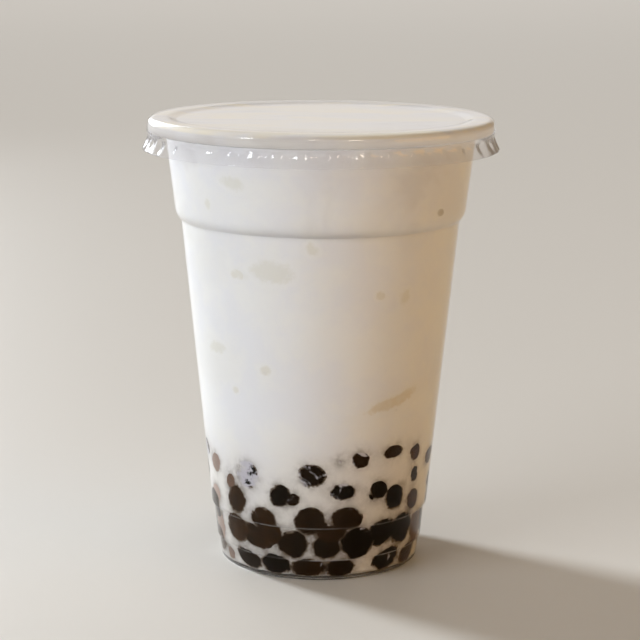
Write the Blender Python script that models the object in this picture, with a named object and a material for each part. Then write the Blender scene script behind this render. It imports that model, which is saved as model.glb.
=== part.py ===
"""Coconut smoothie with tapioca pearls, in a clear takeaway cup with a flat press-fit lid.

Metres, +Z up, with the origin at the centre of the foot, on the table. Four closed solids
fit inside each other: the cup, the lid, the heap of pearls at the bottom and the drink above
them, which fills the cup to just under the lid.
"""
import math
import random

import bmesh
import bpy
from mathutils import Matrix

GAP = 0.0003                        # left between neighbouring solids
TURN_SEGMENTS = 48

# Cup, with radii on the outer face of its wall
CUP_HEIGHT = 0.1253
WALL = 0.0007
FOOT_RADIUS = 0.0282                # the tapered wall carried down to the table
FOOT_ROUND = 0.0009
FOOT_RING_WIDTH = 0.0017
BASE_RECESS = 0.0006
BASE_THICKNESS = 0.0008
FLOOR_ROUND = 0.0012
TAPER = 0.100                       # radius gained for each metre of height
STACKING_LEDGES = (                 # height of the lower edge, rise, extra radius
    (0.0056, 0.0012, 0.00045),
    (0.0152, 0.0012, 0.00055),
)
SHOULDER_START = 0.0977
SHOULDER_RISE = 0.0043
SHOULDER_BULGE = 0.0017             # how far out the shoulder turns before it runs up again
SHOULDER_BEND = 0.235               # where it turns, as a share of its rise
BAND_START_RADIUS = 0.04091
BAND_TOP = 0.1210
BAND_TAPER = 0.1234
RIM_RADIUS = 0.0475
CURL_RADIUS = 0.0023
CURL_LIP = 0.0008                   # straight end of the curl, below its middle

# Lid, with radii on its outer face
LID_WALL = 0.00055
LID_TOP = 0.1262
LID_RADIUS = 0.0485
LID_CORNER = 0.0013
LID_RING_WIDTH = 0.0040             # raised ring round the panel
LID_STEP_WIDTH = 0.0020
LID_PANEL_DEPTH = 0.0006
LID_BAND_FOOT = 0.1224
LID_NECK_RADIUS = 0.04815
LID_NECK_HEIGHT = 0.1216
SKIRT_TIP_RADIUS = 0.0498
SKIRT_TIP_HEIGHT = 0.1174
SKIRT_FLARE = 1.4                   # above 1, the skirt flares more towards its tip
SKIRT_STEPS = 3
CRIMPS = 40
CRIMP_DEPTH = 0.00028
CRIMP_SPAN = (0.15, 0.85)           # stretch of the half wave that the skirt covers

# Pearls and the core that they are fused to
PEARL_RADIUS = 0.0039
PEARL_RADIUS_SPREAD = 0.00035
PEARL_SQUASH = 0.06
PEARL_ROWS = (                      # height of the row's middle, share of places taken
    (0.0057, 1.00),
    (0.0122, 0.92),
    (0.0178, 0.75),
)
PEARL_HEIGHT_SPREAD = 0.0007
PEARL_PLACE_SPREAD = 0.12           # of the distance between two pearls of a row
PEARL_SEGMENTS = 8
PEARL_RINGS = 5
CORE_INSET = 0.0050                 # from the wall's inner face
CORE_TOP = 0.0170
CORE_SEGMENTS = 16
BED_TOP = 0.0217                    # no pearl of the heap reaches higher
SEED = 21

# Drink
POCKET_DEPTH = 0.0092               # room for the wall row of pearls, inwards from the wall

FLOOR_HEIGHT = BASE_RECESS + BASE_THICKNESS
SHOULDER_END = SHOULDER_START + SHOULDER_RISE
CURL_CENTRE = (RIM_RADIUS - CURL_RADIUS, CUP_HEIGHT - CURL_RADIUS)
LID_PANEL_TOP = LID_TOP - LID_PANEL_DEPTH
DRINK_TOP = LID_PANEL_TOP - LID_WALL - GAP

COLOURS = {                         # base colour, roughness, transmission
    "cup": ((0.93, 0.95, 0.97), 0.06, 0.9),
    "lid": ((0.95, 0.95, 0.97), 0.10, 0.9),
    "drink": ((0.86, 0.85, 0.82), 0.35, 0.0),
    "tapioca_pearls": ((0.030, 0.018, 0.012), 0.18, 0.0),
}


def clear_scene():
    for thing in list(bpy.data.objects):
        bpy.data.objects.remove(thing, do_unlink=True)


def principled(name):
    colour, roughness, transmission = COLOURS[name]
    material = bpy.data.materials.new(name)
    material.use_nodes = True
    shader = material.node_tree.nodes["Principled BSDF"]
    shader.inputs["Base Color"].default_value = (*colour, 1.0)
    shader.inputs["Roughness"].default_value = roughness
    shader.inputs["Metallic"].default_value = 0.0
    shader.inputs["Transmission Weight"].default_value = transmission
    material.diffuse_color = (*colour, 1.0)
    return material


def add_object(name, mesh):
    thing = bpy.data.objects.new(name, mesh)
    bpy.context.scene.collection.objects.link(thing)
    return thing


def finish_object(thing, sharp_degrees=35.0):
    thing.data.materials.clear()
    thing.data.materials.append(principled(thing.name))
    thing.data.shade_smooth()
    thing.data.set_sharp_from_angle(angle=math.radians(sharp_degrees))


def arc(centre, radius, start_degrees, end_degrees, steps):
    """Points (radius, height) along a round stretch of a profile, both ends included."""
    points = []
    for step in range(steps + 1):
        angle = math.radians(start_degrees + (end_degrees - start_degrees) * step / steps)
        points.append((centre[0] + radius * math.cos(angle), centre[1] + radius * math.sin(angle)))
    return points


def turn(name, profile, segments, crimp=None):
    """Turn a profile that starts and ends on the axis into one closed object.

    crimp gives, for a height, how far every second column of points stands out.
    """
    mesh = bmesh.new()
    rings = []
    for radius, height in profile:
        if radius == 0.0:
            rings.append([mesh.verts.new((0.0, 0.0, height))])
            continue
        ring = []
        for column in range(segments):
            angle = 2.0 * math.pi * column / segments
            reach = radius
            if crimp:
                reach += crimp(height) * (-1) ** column
            ring.append(mesh.verts.new((reach * math.cos(angle), reach * math.sin(angle), height)))
        rings.append(ring)
    for lower, upper in zip(rings, rings[1:]):
        for column in range(segments):
            following = (column + 1) % segments
            if len(lower) == 1:
                corners = (lower[0], upper[following], upper[column])
            elif len(upper) == 1:
                corners = (lower[column], lower[following], upper[0])
            else:
                corners = (lower[column], lower[following], upper[following], upper[column])
            mesh.faces.new(corners)
    bmesh.ops.recalc_face_normals(mesh, faces=mesh.faces)
    data = bpy.data.meshes.new(name)
    mesh.to_mesh(data)
    mesh.free()
    return add_object(name, data)


def taper_radius(height):
    """Outer radius of the tapered wall, with the ledges that it has passed."""
    radius = FOOT_RADIUS + TAPER * height
    for start, rise, step in STACKING_LEDGES:
        radius += step * min(max((height - start) / rise, 0.0), 1.0)
    return radius


def inner_radius(height):
    return taper_radius(height) - WALL


def shoulder(inset, steps=4):
    """The shoulder, where the wall turns out sharply and then runs up into the band.

    Faces set in from the outer one are lifted too, so that the wall keeps its thickness there.
    """
    lift = 0.5 * inset
    start = (taper_radius(SHOULDER_START), SHOULDER_START)
    middle = (start[0] + SHOULDER_BULGE, SHOULDER_START + SHOULDER_BEND * SHOULDER_RISE)
    end = (BAND_START_RADIUS, SHOULDER_END)
    points = []
    for step in range(steps + 1):
        share = step / steps
        weights = ((1 - share) ** 2, 2 * share * (1 - share), share ** 2)
        radius = weights[0] * start[0] + weights[1] * middle[0] + weights[2] * end[0]
        height = weights[0] * start[1] + weights[1] * middle[1] + weights[2] * end[1]
        points.append((radius - inset, height + lift))
    return points


def wall_line(inset, lowest):
    """Points up the cup's wall, moved in by inset, from the first ledge above lowest."""
    points = []
    for start, rise, _ in STACKING_LEDGES:
        for height in (start, start + rise):
            if height > lowest:
                points.append((taper_radius(height) - inset, height))
    points += shoulder(inset)
    band_radius = BAND_START_RADIUS + BAND_TAPER * (BAND_TOP - SHOULDER_END)
    points.append((band_radius - inset, BAND_TOP))
    return points


def make_cup():
    flat_outer = FOOT_RADIUS - FOOT_ROUND
    flat_inner = flat_outer - FOOT_RING_WIDTH
    outside = [(0.0, BASE_RECESS), (flat_inner - BASE_RECESS, BASE_RECESS), (flat_inner, 0.0)]
    outside += arc((flat_outer, FOOT_ROUND), FOOT_ROUND, -90.0, 0.0, 3)
    outside += wall_line(0.0, FOOT_ROUND)
    curl_end = CURL_CENTRE[1] - CURL_LIP
    outside += arc(CURL_CENTRE, CURL_RADIUS - WALL, 180.0, 0.0, 3)
    outside += [(RIM_RADIUS - WALL, curl_end), (RIM_RADIUS, curl_end)]
    outside += arc(CURL_CENTRE, CURL_RADIUS, 0.0, 180.0, 6)
    inside = list(reversed(wall_line(WALL, FLOOR_HEIGHT)))
    corner_height = FLOOR_HEIGHT + FLOOR_ROUND
    corner = (inner_radius(corner_height) - FLOOR_ROUND, corner_height)
    inside += arc(corner, FLOOR_ROUND, 0.0, -90.0, 3)
    inside.append((0.0, FLOOR_HEIGHT))
    finish_object(turn("cup", outside + inside, TURN_SEGMENTS))


def skirt_line(inset):
    """Points down the lid's flared skirt, from the neck to its tip, on a hollow curve."""
    points = []
    for step in range(SKIRT_STEPS + 1):
        share = step / SKIRT_STEPS
        flare = share ** SKIRT_FLARE
        radius = LID_NECK_RADIUS + (SKIRT_TIP_RADIUS - LID_NECK_RADIUS) * flare
        height = LID_NECK_HEIGHT + (SKIRT_TIP_HEIGHT - LID_NECK_HEIGHT) * share
        points.append((radius - inset, height))
    return points


def skirt_crimp(height):
    """Half depth of the crimps: none at the neck, deepest half-way down the skirt."""
    share = (LID_NECK_HEIGHT - height) / (LID_NECK_HEIGHT - SKIRT_TIP_HEIGHT)
    if share <= 0.0:
        return 0.0
    start, end = CRIMP_SPAN
    return CRIMP_DEPTH * math.sin(math.pi * (start + (end - start) * share))


def make_lid():
    ring_outer = LID_RADIUS - LID_CORNER
    ring_inner = ring_outer - LID_RING_WIDTH
    corner = (ring_outer, LID_TOP - LID_CORNER)
    outside = [(0.0, LID_PANEL_TOP), (ring_inner - LID_STEP_WIDTH, LID_PANEL_TOP), (ring_inner, LID_TOP)]
    outside += arc(corner, LID_CORNER, 90.0, 0.0, 3)
    outside.append((LID_RADIUS, LID_BAND_FOOT))
    outside += skirt_line(0.0)
    inside = list(reversed(skirt_line(LID_WALL)))
    inside.append((LID_RADIUS - LID_WALL, LID_BAND_FOOT))
    inside += arc(corner, LID_CORNER - LID_WALL, 0.0, 90.0, 2)
    inside.append((ring_inner + LID_WALL / 2, LID_TOP - LID_WALL))
    inside.append((ring_inner - LID_STEP_WIDTH + LID_WALL / 2, LID_PANEL_TOP - LID_WALL))
    inside.append((0.0, LID_PANEL_TOP - LID_WALL))
    finish_object(turn("lid", outside + inside, 2 * CRIMPS, skirt_crimp))


def make_drink():
    """The drink from the heap's core up to the lid, with a pocket over the wall's pearls."""
    pocket_top = BED_TOP + GAP
    pocket_radius = inner_radius(CORE_TOP) - POCKET_DEPTH
    profile = [(0.0, CORE_TOP + GAP), (pocket_radius, CORE_TOP + GAP), (pocket_radius, pocket_top)]
    profile.append((inner_radius(pocket_top) - GAP, pocket_top))
    profile += wall_line(WALL + GAP, pocket_top)
    profile.append((CURL_CENTRE[0] - CURL_RADIUS - GAP, CURL_CENTRE[1]))
    profile.append((CURL_CENTRE[0] - CURL_RADIUS - GAP, DRINK_TOP))
    profile.append((0.0, DRINK_TOP))
    finish_object(turn("drink", profile, TURN_SEGMENTS))


def seat_radius(height, radius):
    """Distance from the axis at which a pearl of this radius rests GAP away from the wall."""
    facet = math.cos(math.pi / TURN_SEGMENTS)
    reaches = []
    for degrees in range(-80, 81, 5):
        angle = math.radians(degrees)
        wall = inner_radius(height + radius * math.sin(angle)) * facet
        reaches.append(wall - GAP - radius * math.cos(angle))
    return min(reaches)


def pearl_places():
    """Yield the middle and radius of each pearl at the wall, row by row."""
    draw = random.Random(SEED)
    for row, (row_height, filled) in enumerate(PEARL_ROWS):
        ring = seat_radius(row_height, PEARL_RADIUS)
        count = int(math.pi / math.asin(PEARL_RADIUS / ring))
        for place in range(count):
            radius = PEARL_RADIUS + draw.uniform(-1.0, 1.0) * PEARL_RADIUS_SPREAD
            height = row_height + draw.uniform(-1.0, 1.0) * PEARL_HEIGHT_SPREAD
            shift = 0.5 * row + draw.uniform(-1.0, 1.0) * PEARL_PLACE_SPREAD
            angle = 2.0 * math.pi * (place + shift) / count
            if draw.random() > filled:
                continue
            height = max(height, FLOOR_HEIGHT + GAP + radius)
            height = min(height, BED_TOP - radius)
            reach = seat_radius(height, radius)
            middle = (reach * math.cos(angle), reach * math.sin(angle), height)
            yield middle, radius, draw.random()


def add_pearl(name, middle, radius, lean):
    """One pearl: a ball with few sides, a little flatter one way and turned by its lean."""
    ball = bmesh.new()
    bmesh.ops.create_uvsphere(ball, u_segments=PEARL_SEGMENTS, v_segments=PEARL_RINGS, radius=radius)
    squash = Matrix.Diagonal((1.0, 1.0, 1.0 - PEARL_SQUASH * lean, 1.0))
    tilt = Matrix.Rotation(2.0 * math.pi * lean, 4, "X") @ Matrix.Rotation(math.pi * lean, 4, "Z")
    bmesh.ops.transform(ball, matrix=Matrix.Translation(middle) @ tilt @ squash, verts=ball.verts)
    data = bpy.data.meshes.new(name)
    ball.to_mesh(data)
    ball.free()
    return bpy.data.objects.new(name, data)


def keep_largest_body(data):
    """Delete loose scraps and the skins of sealed hollows, so that one body is left."""
    mesh = bmesh.new()
    mesh.from_mesh(data)
    unseen = set(mesh.verts)
    bodies = []
    while unseen:
        body = set()
        waiting = [unseen.pop()]
        while waiting:
            vertex = waiting.pop()
            body.add(vertex)
            for edge in vertex.link_edges:
                other = edge.other_vert(vertex)
                if other in unseen:
                    unseen.remove(other)
                    waiting.append(other)
        bodies.append(body)
    largest = max(bodies, key=len)
    bmesh.ops.delete(mesh, geom=[v for v in mesh.verts if v not in largest], context="VERTS")
    mesh.to_mesh(data)
    mesh.free()


def make_pearls():
    """The heap: a plain core with the pearls that show at the wall fused on."""
    bottom = FLOOR_HEIGHT + GAP
    profile = [(0.0, bottom), (inner_radius(bottom) - CORE_INSET, bottom)]
    profile += [(inner_radius(CORE_TOP) - CORE_INSET, CORE_TOP), (0.0, CORE_TOP)]
    heap = turn("tapioca_pearls", profile, CORE_SEGMENTS)
    pearls = bpy.data.collections.new("pearls")
    for number, (middle, radius, lean) in enumerate(pearl_places()):
        pearls.objects.link(add_pearl(f"pearl_{number}", middle, radius, lean))
    bpy.context.scene.collection.children.link(pearls)
    union = heap.modifiers.new("fuse", "BOOLEAN")
    union.operation = "UNION"
    union.operand_type = "COLLECTION"
    union.collection = pearls
    union.solver = "EXACT"
    fused = heap.evaluated_get(bpy.context.evaluated_depsgraph_get())
    data = bpy.data.meshes.new_from_object(fused)
    heap.modifiers.clear()
    heap.data = data
    for pearl in list(pearls.objects):
        bpy.data.objects.remove(pearl, do_unlink=True)
    bpy.data.collections.remove(pearls)
    keep_largest_body(heap.data)
    finish_object(heap, sharp_degrees=60.0)


clear_scene()
make_cup()
make_lid()
make_drink()
make_pearls()
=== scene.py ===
"""Looks of the coconut smoothie: clear cup and lid, milky drink, tapioca pearls and coconut bits.

Everything is in metres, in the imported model's frame: +Z up, origin at the centre of the foot.
Round pieces are turned from profiles with the CAD's own sizes, only finer. The drink fills the
cup and reaches just into its wall. Pearls and bits are balls pressed flat against the wall.
"""

import math
import random
from collections import namedtuple

import bmesh
import bpy
import numpy as np
from mathutils import Matrix, Vector, noise


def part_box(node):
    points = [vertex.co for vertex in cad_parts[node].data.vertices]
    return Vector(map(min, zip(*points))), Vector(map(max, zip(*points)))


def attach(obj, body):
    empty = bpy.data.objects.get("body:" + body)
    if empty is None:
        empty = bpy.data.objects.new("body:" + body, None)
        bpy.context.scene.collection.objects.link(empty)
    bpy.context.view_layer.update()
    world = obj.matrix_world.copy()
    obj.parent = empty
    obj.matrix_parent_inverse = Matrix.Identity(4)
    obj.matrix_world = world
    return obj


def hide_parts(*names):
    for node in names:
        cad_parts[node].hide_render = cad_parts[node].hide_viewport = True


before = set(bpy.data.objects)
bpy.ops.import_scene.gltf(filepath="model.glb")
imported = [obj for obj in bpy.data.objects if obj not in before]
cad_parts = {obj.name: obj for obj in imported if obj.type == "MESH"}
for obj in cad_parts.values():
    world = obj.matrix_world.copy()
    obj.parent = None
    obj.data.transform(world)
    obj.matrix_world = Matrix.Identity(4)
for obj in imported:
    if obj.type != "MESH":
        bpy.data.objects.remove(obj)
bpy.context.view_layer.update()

# ---------- sizes of cup and lid, the CAD's unless a comment says otherwise
WALL = 0.0007
WALL_LIFT = 0.00035                  # the inner face's ledges and shoulder lie this much higher
FOOT_RADIUS = 0.0282
FOOT_ROUND = 0.0009
FOOT_RING_WIDTH = 0.0017
FOOT_EASE = (0.0002, 0.00005)        # width and height of the foot ring's eased inner edge
BASE_RECESS = 0.0006
RECESS_SLOPE = (1.4, 0.4)            # its top and its middle, in recess heights from the foot ring
FLOOR_HEIGHT = 0.0014
FLOOR_ROUND = 0.0012
TAPER = 0.100
STACKING_LEDGES = (                  # middle of the step, rise (steeper than the CAD's), extra radius
    (0.0062, 0.0007, 0.00050),
    (0.0158, 0.0008, 0.00060),
)
SHOULDER_START = 0.0977
SHOULDER_RISE = 0.0043
SHOULDER_BULGE = 0.0017
SHOULDER_BEND = 0.235
SHOULDER_END = SHOULDER_START + SHOULDER_RISE
BAND_START_RADIUS = 0.04091
BAND_TAPER = 0.1234
BAND_TOP = 0.1210
RIM_RADIUS = 0.0475
CURL_RADIUS = 0.0023
CURL_LIP = 0.0008
CURL_LIP_ROUND = 0.0002
CUP_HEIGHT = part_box("cup")[1].z
CURL_CENTRE = (RIM_RADIUS - CURL_RADIUS, CUP_HEIGHT - CURL_RADIUS)

LID_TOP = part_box("lid")[1].z
LID_WALL = 0.00055
LID_STEP_SHIFT = LID_WALL / 4        # the step's inner face lies this much farther out
LID_RADIUS = 0.0485
LID_CORNER = 0.0022                  # rounder than the CAD's
LID_RING_WIDTH = 0.0031              # less, by as much, so that the ring starts where the CAD's does
LID_RING_OUTER = LID_RADIUS - LID_CORNER
LID_RING_INNER = LID_RING_OUTER - LID_RING_WIDTH
LID_CORNER_CENTRE = (LID_RING_OUTER, LID_TOP - LID_CORNER)
LID_STEP_WIDTH = 0.0032              # gentler than the CAD's
LID_PANEL_TOP = LID_TOP - 0.0006
LID_BAND_FOOT = 0.1224
LID_NECK_RADIUS = 0.04815
LID_NECK_HEIGHT = 0.1216
NECK_BEND = 0.0003                   # the band turns in towards the neck over this height
SKIRT_TIP_RADIUS = 0.0498
SKIRT_TIP_HEIGHT = 0.1174
SKIRT_FLARE = 1.4
CRIMPS = 40
CRIMP_DEPTH = 0.00070                # the flutes are finer and deeper than the CAD's
CRIMP_WANDER = (0.5, 7.0)            # the flutes lie unevenly: how far, and how often round the lid
CRIMP_FULL = 0.3                     # they are deepest from this share of the way down on,
CRIMP_FADE = 0.4                     # fade from this share on,
CRIMP_LOSS = 0.75                    # and have lost this much of their depth at the tip
TIP_WALL = 0.0002                    # the skirt thins out towards its tip

# ---------- sizes of the contents
INTO_WALL = 0.0001                   # how far the drink reaches into the plastic round it
DRINK_TOP = LID_PANEL_TOP - LID_WALL + INTO_WALL
FILM_FOOT = 0.1222                   # how far down the film of milk outside the rim reaches
FILM_EDGE = 0.0003                   # width of the film's foot, and thickness of its inner edge
FILM_FOOT_ROUND = 0.0002
FILM_REACH = (0.0002, 0.00003)       # how far its inner edge goes past the lid's step: in, down
PEARL_RADIUS = 0.0042
BIT_RADIUS = 0.0012
BIT_DEPTH = 0.5                      # bits are flakes: their depth as a share of a ball's
LUMPS = 0.10                         # how far a ball departs from round, as a share of its radius
LUMP_NOISE = ((1.3, 1.0), (3.1, 0.45))          # scale and weight
LUMP_SHIFT = (7.3, 1.7, 3.1)         # each ball's noise lies this far on in x and y, all at this z
SPOT_FADE = 1.16                     # a spot's milky edge, as a share of its dark part
LEAST_BALL = 1.06                    # least radius of a ball, as a share of its spot's
PRESS_LEAST = 0.00015                # balls reach into the wall deeper than the drink, by this
PRESS_SPREAD = 0.00025               # and up to this much more, so that no two lie equally deep:
PRESS_TURN = 0.618                   # ball n takes the share n times this, less its whole part
PRESSED_THICKNESS = 0.0008           # left of a ball where it is pressed thin against the wall
INTO_FLOOR = 0.00005                 # how far a ball may reach into the cup's floor
WALL_FROM = 0.0025                   # below this height the wall is taken as upright
WALL_GUIDED = 0.0009                 # parts this close to the wall are shaded like the wall
JOIN_WIDTH = 0.0006                  # over this width one spot passes into the next
SHADE_AT_EDGE = 0.60                 # how much one pearl shades the milk at its edge
SHADE_REACH = 0.0010                 # and how fast that fades out
SHADE_LIMIT = 0.014                  # pearls farther from a ball than this don't shade it
SHADED_FROM = 0.02                   # the drink is shaded outside this radius

# ---------- how fine the meshes are
CUP_SEGMENTS = 192
LID_SEGMENTS = 432
DRINK_SEGMENTS = 320
FILM_SEGMENTS = 256
BALL_SUBDIVISIONS = 3
WALL_START = 1.3 * FOOT_ROUND        # the wall's lowest ring
LEDGE_RINGS = 9
LEDGE_REACH = 0.6                    # they cover this much of a ledge's rise to each side
BODY_START = 0.022                   # rings of the plain wall, from above the stacking ledges
BODY_RINGS = 12
SHOULDER_RINGS = 15
SHOULDER_BUNCHING = 1.4              # the shoulder's rings lie closer together at its foot
FOLD_LEAD = 0.0003                   # one more ring this far below the shoulder
BAND_RINGS = 8
RING_GAP = 0.001                     # kept between two runs of rings
PANEL_RING = 0.02                    # radius of an extra ring on the lid's panel
BASE_RING = 0.013                    # radius of an extra ring on the drink's flat bottom
FINE_TOP = 0.046                     # the drink's rings lie close together up to here,
FINE_STEP = 0.0006                   # because pearls shade it there
COARSE_STEP = 0.0025
EASING_RINGS = (0.66, 0.33)          # between the curl and the band, as shares of the way up
NECK_RINGS = 5                       # of the drink, from the band's top to the curl
SURFACE_RINGS = (0.99, 0.8, 0.6, 0.4, 0.2, 0.0)      # of the drink's top, as shares of its radius

# ---------- camera, in the photo's frame
PICTURE = 640
SENSOR = 36.0
LENS = 113.6
CAMERA_PLACE = (0.0, -0.562, 0.1834)
CAMERA_PITCH = 11.6
CAMERA_ROLL = 0.3

# ---------- things that lie at the wall
# What the camera sees there, in pixels of the picture: x, y, width, height, lean in degrees,
# how much milk is smeared over it (0 to 1), and brownness (above 1: behind a veil of milk).
PEARLS_IN_VIEW = (
    (217.5, 460.5, 8, 19, 12, 0.0, 1.45),
    (248, 474, 21, 27, 15, 0.90, 0.0),
    (238, 498, 16, 29, 20, 0.08, 0.4),
    (232, 480, 8, 17, 12, 0.0, 1.25),
    (218.5, 491, 7, 17, 12, 0.0, 1.6),
    (280.5, 495, 21, 24, 20, 0.05, 0.0),
    (292.5, 499, 13, 13, 30, 0.12, 0.1),
    (312, 476, 27, 23, 15, 0.44, 0.1),
    (340, 461, 9, 9, 0, 0.35, 1.2),
    (360.5, 459, 16, 17, 0, 0.30, 0.2),
    (393, 451, 18, 13, -5, 0.08, 0.3),
    (413.8, 451, 9, 17, -12, 0.05, 0.8),
    (426.5, 454, 7, 16, -12, 0.0, 1.0),
    (412.7, 472.5, 7, 17, -8, 0.05, 0.2),
    (343.5, 491.5, 24, 17, 5, 0.32, 0.0),
    (378.5, 488.5, 15, 19, -25, 0.02, 0.0),
    (372, 496, 8, 7, 30, 0.1, 0.0),
    (393.5, 497, 17, 25, -15, 0.0, 0.0),
    (410.5, 498, 11, 20, -20, 0.05, 0.7),
    (401, 487, 5, 6, 0, 0.3, 0.5),
    (223, 525, 7, 30, 12, 0.0, 1.5),
    (239, 526, 19, 28, 25, 0.03, 0.5),
    (263.5, 518.5, 23, 23, 0, 0.0, 0.3),
    (257, 535, 30, 22, 15, 0.02, 0.3),
    (273, 532, 18, 23, 10, 0.05, 0.4),
    (294, 544, 29, 27, 0, 0.03, 0.1),
    (310.5, 521.5, 30, 28, 0, 0.0, 0.2),
    (346, 518.5, 30, 23, 0, 0.03, 0.2),
    (326.5, 546, 28, 26, 0, 0.02, 0.1),
    (330, 532, 28, 18, 0, 0.05, 0.3),
    (356, 542, 31, 31, 0, 0.0, 0.0),
    (381, 531, 25, 28, -10, 0.0, 0.0),
    (399.5, 526, 20, 32, -20, 0.0, 0.0),
    (413, 526, 9, 36, -14, 0.1, 1.2),
    (233, 551, 7, 11, 20, 0.0, 1.35),
    (250.5, 556.5, 23, 17, 20, 0.02, 0.1),
    (276.5, 563, 27, 21, 5, 0.02, 0.0),
    (309, 567, 34, 19, 0, 0.03, 0.2),
    (339, 567, 29, 18, 0, 0.04, 0.1),
    (385, 557, 24, 22, -15, 0.0, 0.0),
    (404.5, 550, 15, 19, -25, 0.03, 0.5),
    (415, 545, 5, 14, -15, 0.0, 1.3),
)
BITS_IN_VIEW = (
    (269.5, 272, 74, 37, 0, 0.0, 0.0),
    (391.5, 402, 82, 21, -14, 0.0, 1.1),
    (404, 297, 20, 30, 10, 0.0, 0.2),
    (380, 296, 17, 15, 0, 0.0, 0.4),
    (219, 347.5, 29, 22, 0, 0.0, 0.0),
    (265.5, 370, 22, 18, 0, 0.0, 0.2),
    (237.5, 389.5, 10, 11, 0, 0.0, 0.2),
    (311.5, 249.5, 23, 25, -25, 0.0, 0.1),
    (236, 275, 15, 14, 0, 0.0, 0.3),
    (233.5, 182.5, 40, 25, 10, 0.0, 0.0),
    (209, 203.5, 10, 17, 0, 0.0, 0.0),
    (439.5, 212, 7, 8, 0, 0.0, 1.6),
)
LEAST_FACING = 0.25                  # keeps spots near the outline from getting too wide

# A place on the wall: angle round the axis, height, half sizes, lean in degrees, smear, brownness
Place = namedtuple("Place", "angle height half_wide half_tall lean smear brown")

# The camera sees the wall this far to each side of the front. Beyond that, places are random.
VIEW_HALF_ANGLE = math.radians(72.0)
HIDDEN_SPAN = 2.0 * (math.pi - VIEW_HALF_ANGLE)
SEED = 5
HIDDEN_ROWS = (                      # height of a row of pearls, and how far apart they lie in it
    (0.0062, 0.0084),
    (0.0118, 0.0080),
    (0.0176, 0.0086),
    (0.0245, 0.0125),
    (0.0335, 0.0170),
)
BED_ROWS = 3                         # these rows are the dense bed, and the others float above it
PEARL_BAND_TOP = 0.040               # the highest floating pearls
BED_HALF = (0.0034, 0.0041)          # least and largest half width
FLOATING_HALF = (0.0026, 0.0040)
BED_SCATTER = 0.0008                 # in height
FLOATING_SCATTER = 0.0030
ANGLE_SCATTER = 0.2                  # along the row, as a share of the pitch
ROW_STAGGER = 0.25                   # rows are shifted by this share of the pitch, to and fro
BED_SMEAR = 0.06
FLOATING_SMEARS = (0.0, 0.03, 0.05, 0.3, 0.7)
PEARL_TALLNESS = (0.8, 1.15)
PEARL_LEAN = 25
PEARL_BROWNNESS = 0.5
HIDDEN_BITS = 16
BIT_HALF = (0.0016, 0.0040)
BIT_LENGTHS = (1.0, 1.2, 1.5, 2.6)
BIT_TALLNESS = 0.8
BIT_LEAN = 30.0
BIT_HEIGHTS = (0.048, 0.112)
BIT_BROWNNESS = 0.7

# ---------- colours and looks
CUP_TINT = (0.985, 0.99, 1.0)
LID_TINT = (0.99, 0.99, 1.0)
MIRROR = (1.0, 1.0, 1.0)
HAZE = (0.8, 0.8, 0.82)
SKIRT_SMOKE = (0.12, 0.11, 0.15)
WALL_MIRROR = (0.38, 0.32, 0.26)     # reflections in the wall, dimmer and warmer than bare plastic's
WAVE_DEPTH = 0.0004                  # of the slight waves in cup and lid
RIPPLE_DEPTH = 0.0003                # of the fine ripples on milk, pearls and bits
LID_HAZE = 0.05
SKIRT_HAZE = 0.04                    # added in the skirt
FLUTE_HAZE = 0.35                    # added on its flutes where they are seen at a slant,
FLUTES_TURN = (0.60, 0.90)           # from a little haze at the first slant to all at the second
LID_SHINE = 0.05                     # seen straight on
SLANT_SHINE = 0.5                    # added where the lid is seen at a full slant,
SKIRT_SLANT_SHINE = 0.45             # and added to that in the skirt
SLANT_POWER = 5.0
LEDGE_HIGHLIGHT = (0.00008, 0.00030)    # a ledge's painted highlight, a pale line, is full to one distance, gone at the other
LEDGE_HIGHLIGHT_DROP = 0.2                    # it lies this share of the ledge's rise below its middle
MILK = (0.80, 0.79, 0.77)
MILK_COOL = (0.77, 0.765, 0.775)
MILK_TEA = (0.70, 0.65, 0.58)
MILK_SHADE = (0.13, 0.10, 0.075)
THIN_MILK = (0.52, 0.50, 0.54)
MILK_CLOUD = (0.68, 0.66, 0.65)
CREAM = (0.84, 0.79, 0.67)
STREAK = (0.66, 0.62, 0.57)
STREAK_SCALES = (26.0, 120.0, 60.0)  # along x, y and z, so the streaks run from side to side
SURFACE_DEPTHS = (0.0006, 0.0002)    # below the top, the cream starts and is full at these depths
TEA_HEIGHTS = (PEARL_BAND_TOP + 0.010, 0.020)    # the milk's tea colour starts and is full here
DEEP_HEIGHTS = (0.030, 0.014)        # the shade between pearls deepens between these
CLOUD_LEAD = 0.002                   # the clouds grow stronger from this far below the shoulder
# painted shade: a faint dark line in the milk, in the crease where the shoulder starts
FOLD_SHADE_HEIGHT = SHOULDER_START + 0.0006
FOLD_SHADE_WIDTH = 0.0018                  # to each side, of that faint line of painted shade where the shoulder starts

# A spot's look: four colours, how strongly it shows, the shares of its size where its own
# colour ends and the milk begins, how ragged that edge is, and its roughness.
SpotLook = namedtuple("SpotLook", "dark brown veiled rim strength edge ragged roughness")
PEARL_LOOK = SpotLook(
    dark=(0.0050, 0.0028, 0.0014),
    brown=(0.085, 0.035, 0.010),
    veiled=(0.55, 0.42, 0.36),
    rim=(0.14, 0.105, 0.075),
    strength=1.0,
    edge=(0.80, 0.99),
    ragged=0.5,
    roughness=0.3,
)
BIT_LOOK = SpotLook(
    dark=(0.71, 0.69, 0.62),
    brown=(0.66, 0.57, 0.42),
    veiled=(0.30, 0.26, 0.20),
    rim=MILK,
    strength=0.65,
    edge=(0.30, 1.0),
    ragged=0.6,
    roughness=0.42,
)
RAGGED_NOISE = ((120.0, 1.0), (300.0, 1.0), (1100.0, 0.6))      # scale and share of the raggedness
COVER_BARE = 0.72                    # milk lies on a clean spot where the noise is above this,
COVER_SMEARED = 0.42                 # and on a fully smeared one where it is above this much less
COVER_LEAN = -0.16                   # the smeared milk is thicker on a spot's left

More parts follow.
